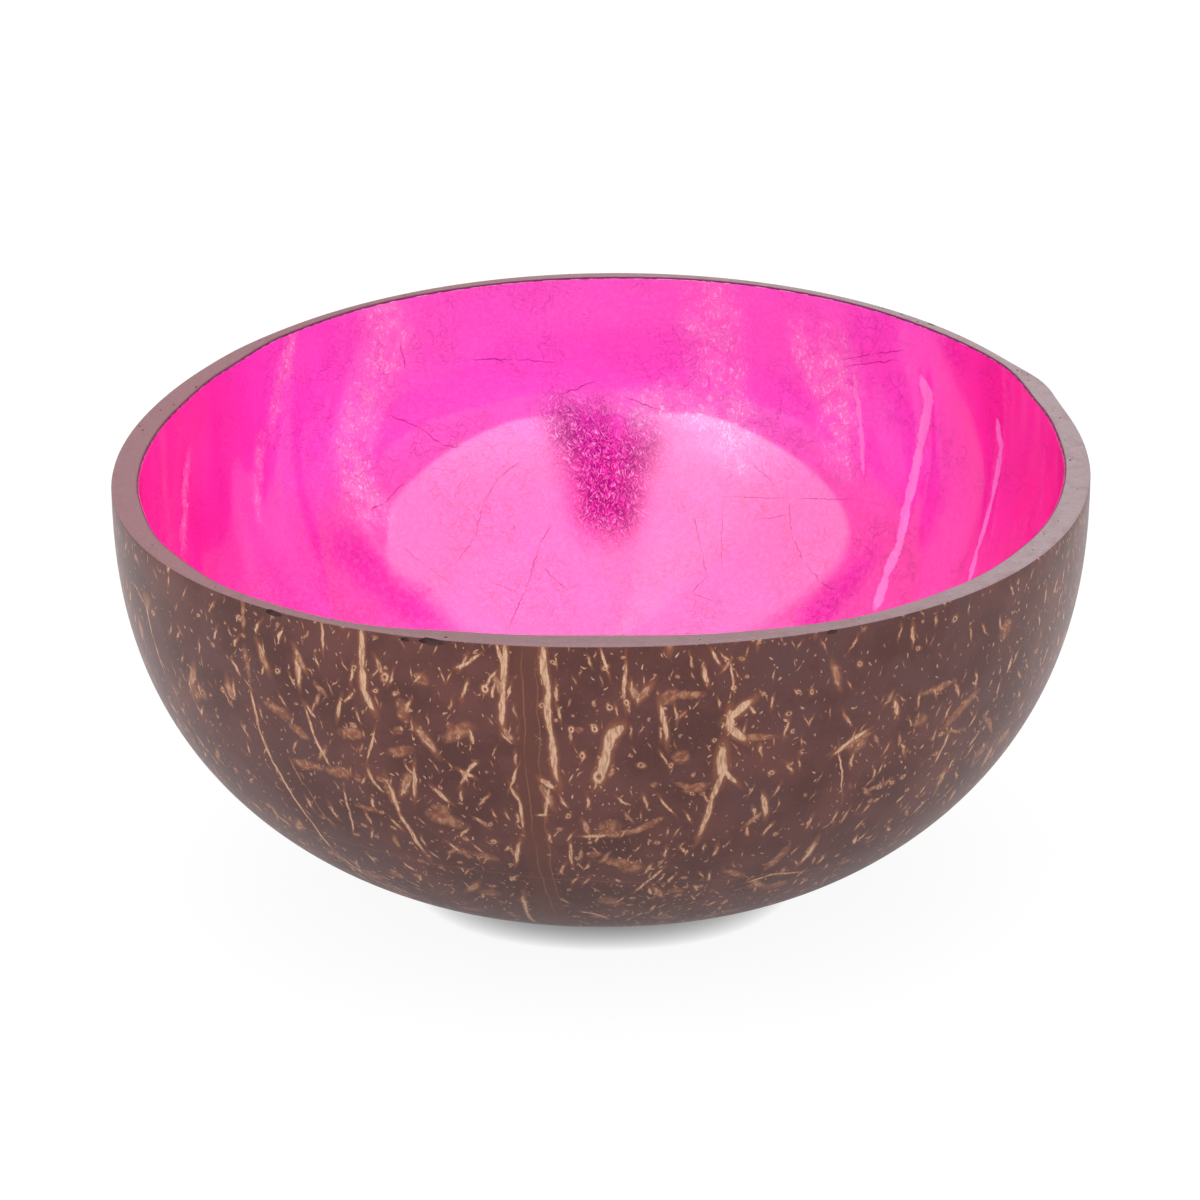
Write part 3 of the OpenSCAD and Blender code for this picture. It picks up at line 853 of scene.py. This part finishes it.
# Runs where the crumpled leaf turns satin, with pale painted highlights along them: sharp ones and soft ones,
# laid in the same way
SATIN_AND_HIGHLIGHT_RUNS = (
    (2.0, (44.6, 44.3, 53.1), (45.4, 43.0, 51.2), (44.4, 42.4, 44.8), (42.4, 40.0, 36.6),
     (41.4, 37.2, 31.9), (39.3, 34.9, 27.6), (38.1, 32.2, 24.6)),
    (1.4, (54.3, 30.2, 52.5), (54.7, 28.5, 49.7), (53.4, 26.9, 42.1), (51.3, 24.7, 35.6),
     (50.4, 22.7, 32.9)),
    (0.9, (35.3, 52.7, 50.5), (36.2, 50.4, 44.3), (36.5, 47.5, 38.8)))
SOFT_SATIN_HIGHLIGHT_RUNS = (
    (10.5, (15.3, 62.9, 59.8), (15.9, 62.4, 52.4), (17.3, 60.3, 44.0), (18.6, 58.5, 40.1)),
    (8.5, (32.6, 55.1, 53.7), (33.0, 53.5, 46.7), (34.0, 50.5, 40.3)),
    (8.5, (-31.1, 54.8, 60.7), (-29.8, 55.5, 56.0), (-32.7, 52.8, 49.6), (-35.5, 48.5, 42.9),
     (-35.5, 46.0, 37.9), (-32.9, 45.5, 33.5)),
    (8.0, (4.0, 61.7, 42.0), (10.8, 61.5, 43.2), (16.5, 59.3, 40.6), (18.6, 57.3, 37.5)),
    (4.5, (27.7, 58.1, 55.5), (29.4, 56.6, 50.8), (31.2, 54.6, 46.3), (33.0, 52.4, 43.3)),
    (3.5, (-43.7, 43.3, 59.9), (-45.3, 40.9, 53.7), (-46.3, 38.2, 48.6)),
    (3.0, (-47.6, 36.0, 48.5), (-48.1, 30.4, 40.0)), (2.4, (-56.4, 18.3, 53.6), (-57.2, 10.1, 43.4)))
# Where the leaf is crumpled finely under a painted dark reflection, and where the lining is painted in shade
# and its coat is thinner
CRUMPLE_AND_DARK_REFLECTION_RUNS = (
    (11.0, (-6.8, 60.8, 41.1), (-0.9, 58.8, 35.2), (-0.6, 54.0, 27.6)),
    (10.0, (5.0, 60.0, 38.5), (3.0, 57.3, 32.9), (2.0, 54.5, 28.4)),
    (10.0, (-1.5, 60.9, 40.6), (0.5, 58.0, 34.0)))
PAINTED_SHADE_RUNS = (
    (9.0, (-37.0, 39.5, 31.0), (-30.5, 38.8, 25.0), (-24.5, 37.6, 20.5)),
    (6.0, (36.9, 38.7, 28.5), (31.6, 37.2, 23.0), (29.0, 35.6, 20.4)))
HOT_PINK, DEEP_PINK, LOW_PINK = (1.0, 0.035, 0.64), (1.0, 0.02, 0.52), (1.0, 0.035, 0.42)
# The pale pink is the leaf's grain and also painted highlight, the white pink is painted glint, and the joint
# and dark pinks are the leaf's joints and specks and also painted shade
PALE_GRAIN_AND_HIGHLIGHT_PINK, LIT_PINK, PAINTED_GLINT_PINK = (1.0, 0.30, 0.80), (1.0, 0.14, 0.78), (1.0, 0.6, 0.95)
JOINT_AND_SHADE_PINK, SPECK_AND_SHADE_PINK, END_PINK = (0.52, 0.006, 0.34), (0.26, 0.0, 0.16), (1.0, 0.008, 0.27)
STRAW_LEANS, STRAW_SHAPE = (-0.5, 0.75), (3.0, 0.6, 0.6)

lining = new_finish("pink_lacquer_over_leaf")
inside = in_millimetres(lining)
stirred = lining.jittered(inside, 0.7, 1.4)
tint = lining.noise(inside, 0.05, 3)
crumple = lining.smooth(lining.noise(inside, 0.09, 2), 0.42, 0.62)


def leaf_creases(place, scale, width):
    """Fine curling lines where the leaf has folded."""
    return lining.near(abs(lining.noise(place, scale, 2, 0.6) - 0.5), 0.0, width)


creases = leaf_creases(stirred, 0.3, 0.012).most(leaf_creases(stirred, 0.62, 0.02) * 0.7)
creases = creases * lining.smooth(lining.noise(inside, 0.12, 2), 0.42, 0.58)
tinsel = lining.noise(stirred, 3.4, 3, 0.7)
crossed = []
for lean in STRAW_LEANS:
    leant = lining.node("ShaderNodeVectorRotate", {"rotation_type": "Y_AXIS"},
                        {"Vector": lining.jittered(inside, 0.5, 1.6), "Angle": lean})
    crossed.append(lining.noise(lining.vector("MULTIPLY", leant, STRAW_SHAPE), 2.3, 1.0))
straws = crossed[0].most(crossed[1])
joint_reach = line_reach_to(lining, lining.jittered(inside, 0.9, 0.7), LEAF_JOINTS)
joint = lining.near(joint_reach, 0.4, 1.1)
run_place = lining.jittered(lining.jittered(inside, 0.5, 0.8), 2.0, 0.5)
satin_and_highlight = lining.near(line_reach_to(lining, run_place, SATIN_AND_HIGHLIGHT_RUNS), 0.75, 1.05)
wander = lining.jittered(lining.jittered(inside, 0.2, 3.0), 1.2, 1.2)
soft_satin_and_highlight = lining.near(line_reach_to(lining, wander, SOFT_SATIN_HIGHLIGHT_RUNS), 0.0, 1.25)
soft_satin_and_highlight = soft_satin_and_highlight * (0.3 + 0.7 * lining.smooth(lining.noise(stirred, 0.5, 3, 0.6), 0.36, 0.6))
crumple_and_dark_reflection = lining.near(line_reach_to(lining, wander, CRUMPLE_AND_DARK_REFLECTION_RUNS), 0.1, 1.2)
painted_shade_thin_coat = lining.near(line_reach_to(lining, wander, PAINTED_SHADE_RUNS), 0.3, 1.2)
level = lining.vector("MULTIPLY", inside, (1.0, 1.0, 0.0))
speck = strewn(lining, level, 1.0, (9.0, 9.0), (0, 0, 0), (0.5, 0.6), 90, 0.12)[0]
sparkle = lining.noise(lining.vector("MULTIPLY", stirred, (1.5, 1.0, 0.8)), 1.8, 1.0)
glint = lining.smooth(sparkle, 0.57, 0.66)
dark_straw = lining.near(straws, 0.5, 0.57)
pale_straw = lining.smooth(straws, 0.61, 0.72)
spread = lining.parts(inside)
lit = lining.near(abs(spread), 30.0, 58.0) * lining.smooth(spread.other("Y"), -25.0, 40.0)

pink = lining.blend(lining.smooth(tint, 0.38, 0.66), DEEP_PINK, HOT_PINK)
pink = lining.blend(lit * 0.6, pink, LIT_PINK)
pink = lining.blend(lining.near(spread.other("Z"), 30.0, 46.0) * 0.85, pink, LOW_PINK)
pink = lining.blend(lining.smooth(abs(spread), 44.0, 62.0) * 0.9, pink, END_PINK)
pink = lining.blend(creases * 0.4, pink, JOINT_AND_SHADE_PINK)
# Painted shade darkens the lining along these runs, where its coat is also thinner
pink = lining.blend(painted_shade_thin_coat * 0.4, pink, JOINT_AND_SHADE_PINK)
leaf_grain = lining.noise(stirred, 1.3, 3, 0.65)
grain_share = lining.smooth(leaf_grain, 0.42, 0.68) * 0.13 * lining.near(abs(spread), 34.0, 56.0)
pink = lining.blend(grain_share, pink, PALE_GRAIN_AND_HIGHLIGHT_PINK)
# Painted highlights: a pale haze along the soft runs, with painted glints in it
pink = lining.blend(soft_satin_and_highlight * 0.85, pink, PALE_GRAIN_AND_HIGHLIGHT_PINK)
pink = lining.blend(soft_satin_and_highlight * glint * 0.9, pink, PAINTED_GLINT_PINK)
# Painted highlights along the satin runs, where the leaf is also rougher
pink = lining.blend(satin_and_highlight * 0.85, pink, PALE_GRAIN_AND_HIGHLIGHT_PINK)
# Painted dark reflection over the finely crumpled leaf: darker, with dark straws, and painted glints on the
# pale straws
pink = lining.blend(crumple_and_dark_reflection * 0.3, pink, JOINT_AND_SHADE_PINK)
pink = lining.blend(crumple_and_dark_reflection * dark_straw * 0.7, pink, SPECK_AND_SHADE_PINK)
pink = lining.blend(crumple_and_dark_reflection * pale_straw * 0.8, pink, PAINTED_GLINT_PINK)
pink = lining.blend(joint * 0.8, pink, JOINT_AND_SHADE_PINK)
pink = lining.blend(lining.near(speck, 0.4, 1.0) * 0.6, pink, SPECK_AND_SHADE_PINK)
folds = creases * -0.5 + tinsel * (0.5 + crumple * 0.6) - joint * 0.6 + straws * (0.9 + crumple_and_dark_reflection * 1.5)
lining.principled({
    "Base Color": pink, "Metallic": 0.16 + soft_satin_and_highlight * 0.3 + crumple_and_dark_reflection * 0.34,
    "Roughness": 0.4 + satin_and_highlight * 0.25 + soft_satin_and_highlight * 0.15 + crumple * 0.05, "Specular IOR Level": 0.0,
    "Coat Weight": 1 - 0.5 * crumple_and_dark_reflection - 0.75 * painted_shade_thin_coat - 0.4 * joint - 0.3 * creases,
    "Coat Roughness": 0.07, "Coat IOR": 2.0, "Normal": lining.relief(folds, 1.0, LEAF_RELIEF)})
lacquer.data.materials.append(lining.owner)

for piece, node, slot in ((shell, "coconut_shell", "shell"), (ground, "ground_coat", "ground"),
                          (leaf, "metal_leaf", "leaf"), (lacquer, "lacquer_coat", "lacquer")):
    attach(piece, "root")
    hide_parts(node)

# Floor: lengths in metres
FLOOR_RADIUS, FLOOR_SIDES = 4.0, 96
SHADE_REACH, MIRRORED_SHADE_REACH = 0.0035, 0.06
BOUNCED_GREY, SEEN_GREY = (0.6,) * 3, (0.12,) * 3
SHADED_PAPER, OPEN_PAPER = (0.12,) * 3, (0.92,) * 3
floor_mesh = bmesh.new()
bmesh.ops.create_circle(floor_mesh, cap_ends=True, segments=FLOOR_SIDES, radius=FLOOR_RADIUS)
floor_data = bpy.data.meshes.new("studio_floor")
floor_mesh.to_mesh(floor_data)
floor_mesh.free()
floor = bpy.data.objects.new("studio_floor", floor_data)
bpy.context.scene.collection.objects.link(floor)
paper = new_finish("white_paper")
seen = paper.node("ShaderNodeLightPath")
mirrored = seen.other("Is Glossy Ray") + seen.other("Is Transmission Ray")
matte = paper.node("ShaderNodeBsdfDiffuse", {}, {"Color": BOUNCED_GREY})
dim = paper.node("ShaderNodeBsdfDiffuse", {}, {"Color": SEEN_GREY})
# The bowl shades the paper round its foot, and more widely where the bowl itself mirrors it
open_share = paper.node("ShaderNodeAmbientOcclusion", {"samples": 8},
                        {"Distance": SHADE_REACH + mirrored * MIRRORED_SHADE_REACH}, "AO")
shade = paper.blend(open_share, SHADED_PAPER, OPEN_PAPER)
glow = paper.node("ShaderNodeEmission", {}, {"Color": shade, "Strength": 1.0})
lit_paper = paper.node("ShaderNodeAddShader", {}, (dim, glow))
paper.surface(paper.node("ShaderNodeMixShader", {}, (seen + mirrored, matte, lit_paper)))
floor.data.materials.append(paper.owner)

# The studio: places on a plane at height 1, turns in degrees from the front
PANEL_LIGHT, ROOM_LIGHT, LOW_LIGHT, TOP_LIGHT = 2.0, 0.35, 1.6, 2.2
PANEL_ACROSS, PANEL_HALF_ACROSS = -0.075, 2.03
PANEL_ALONG, PANEL_HALF_ALONG = -1.68, 1.77
PANEL_CORNER = 4.0
STAND_FROM, STAND_TO, STAND_SOFT = -6, 14, 7
HOT_FROM, HOT_TO, HOT_SOFT = -52, -14, 9
studio = Finish(bpy.data.worlds.new("studio"))
bpy.context.scene.world = studio.owner
camera_ray = studio.node("ShaderNodeLightPath")
side = studio.parts(studio.node("ShaderNodeTexCoord", {}, (), "Generated"))
ahead, up = side.other("Y"), side.other("Z")
lifted = up.most(0.02)
across = side / lifted
along = ahead / lifted
azimuth = side.math("ARCTAN2", side, 0.0 - ahead)

# One broad panel hangs over the front of the bowl, and the camera on its stand hides a strip of it
out_across = (across - PANEL_ACROSS) / PANEL_HALF_ACROSS
out_along = (along - PANEL_ALONG) / PANEL_HALF_ALONG
corner = abs(out_across) ** PANEL_CORNER + abs(out_along) ** PANEL_CORNER
panel = studio.near(corner, 0.88, 1.12) * studio.smooth(up, 0.02, 0.05)
stand = studio.between(azimuth, math.radians(STAND_FROM), math.radians(STAND_TO), math.radians(STAND_SOFT))
stand = stand * studio.near(along, -0.85, -0.4)
hot = studio.between(azimuth, math.radians(HOT_FROM), math.radians(HOT_TO), math.radians(HOT_SOFT))
aside = studio.smooth(abs(side), 0.5, 0.85)
behind = studio.smooth(ahead, 0.0, 0.3)
low_wall = studio.near(up, 0.08, 0.2) * aside.most(behind)
ceiling = studio.smooth(up, 0.72, 0.9) * behind
room = ROOM_LIGHT + (LOW_LIGHT - ROOM_LIGHT) * low_wall + (TOP_LIGHT - ROOM_LIGHT) * ceiling
panel = panel * (1 - 0.3 * studio.smooth(along, -2.2, -0.6))
light = room + (PANEL_LIGHT - ROOM_LIGHT) * panel * (1 + 0.35 * hot) * (1 - 1.3 * stand)
light = light * (1 - camera_ray) + camera_ray
studio.surface(studio.node("ShaderNodeBackground", {}, {"Color": (1.0, 1.0, 1.0), "Strength": light}))

# A soft spot lifts the side of the lining that turns from the panel: lengths in metres
FILL_WATTS, FILL_SPREAD, FILL_SOFT = 1.5, 42, 0.05
FILL_PLACE, FILL_AIM = (0.10, -0.02, 0.30), (-0.046, 0.036, 0.045)
fill_data = bpy.data.lights.new("side_fill", "SPOT")
fill_data.energy = FILL_WATTS
fill_data.spot_size = math.radians(FILL_SPREAD)
fill_data.spot_blend = 1.0
fill_data.shadow_soft_size = FILL_SOFT
fill = bpy.data.objects.new("side_fill", fill_data)
bpy.context.scene.collection.objects.link(fill)
fill.location = FILL_PLACE
fill.rotation_mode = "QUATERNION"
fill.rotation_quaternion = (Vector(FILL_AIM) - fill.location).to_track_quat("-Z", "Y")
fill.visible_glossy = False
lined = bpy.data.collections.new("lined")
lined.objects.link(lacquer)
fill.light_linking.receiver_collection = lined

# The camera, at the photo's place: lengths in metres, turns in radians, lens and sensor in millimetres
CAMERA_AWAY, CAMERA_DOWN, CAMERA_LIFT = 0.9, 0.4259, 0.03
CAMERA_AIM, CAMERA_YAW, CAMERA_ROLL = 0.4161, -0.0008, -0.0043
LENS, SENSOR = 200.3, 36.0
camera_data = bpy.data.cameras.new("camera")
camera_data.lens = LENS
camera_data.sensor_width = SENSOR
camera = bpy.data.objects.new("camera", camera_data)
bpy.context.scene.collection.objects.link(camera)
camera.location = (0, -CAMERA_AWAY * math.cos(CAMERA_DOWN), CAMERA_LIFT + CAMERA_AWAY * math.sin(CAMERA_DOWN))
level_part = math.cos(CAMERA_AIM)
looking = Vector((math.sin(CAMERA_YAW) * level_part, math.cos(CAMERA_YAW) * level_part,
                  -math.sin(CAMERA_AIM)))
camera.rotation_mode = "QUATERNION"
camera.rotation_quaternion = looking.to_track_quat("-Z", "Y") @ Euler((0, 0, CAMERA_ROLL)).to_quaternion()
camera_data.clip_start = 0.01
camera_data.clip_end = 20
bpy.context.scene.camera = camera
bpy.context.scene.view_settings.view_transform = "Standard"
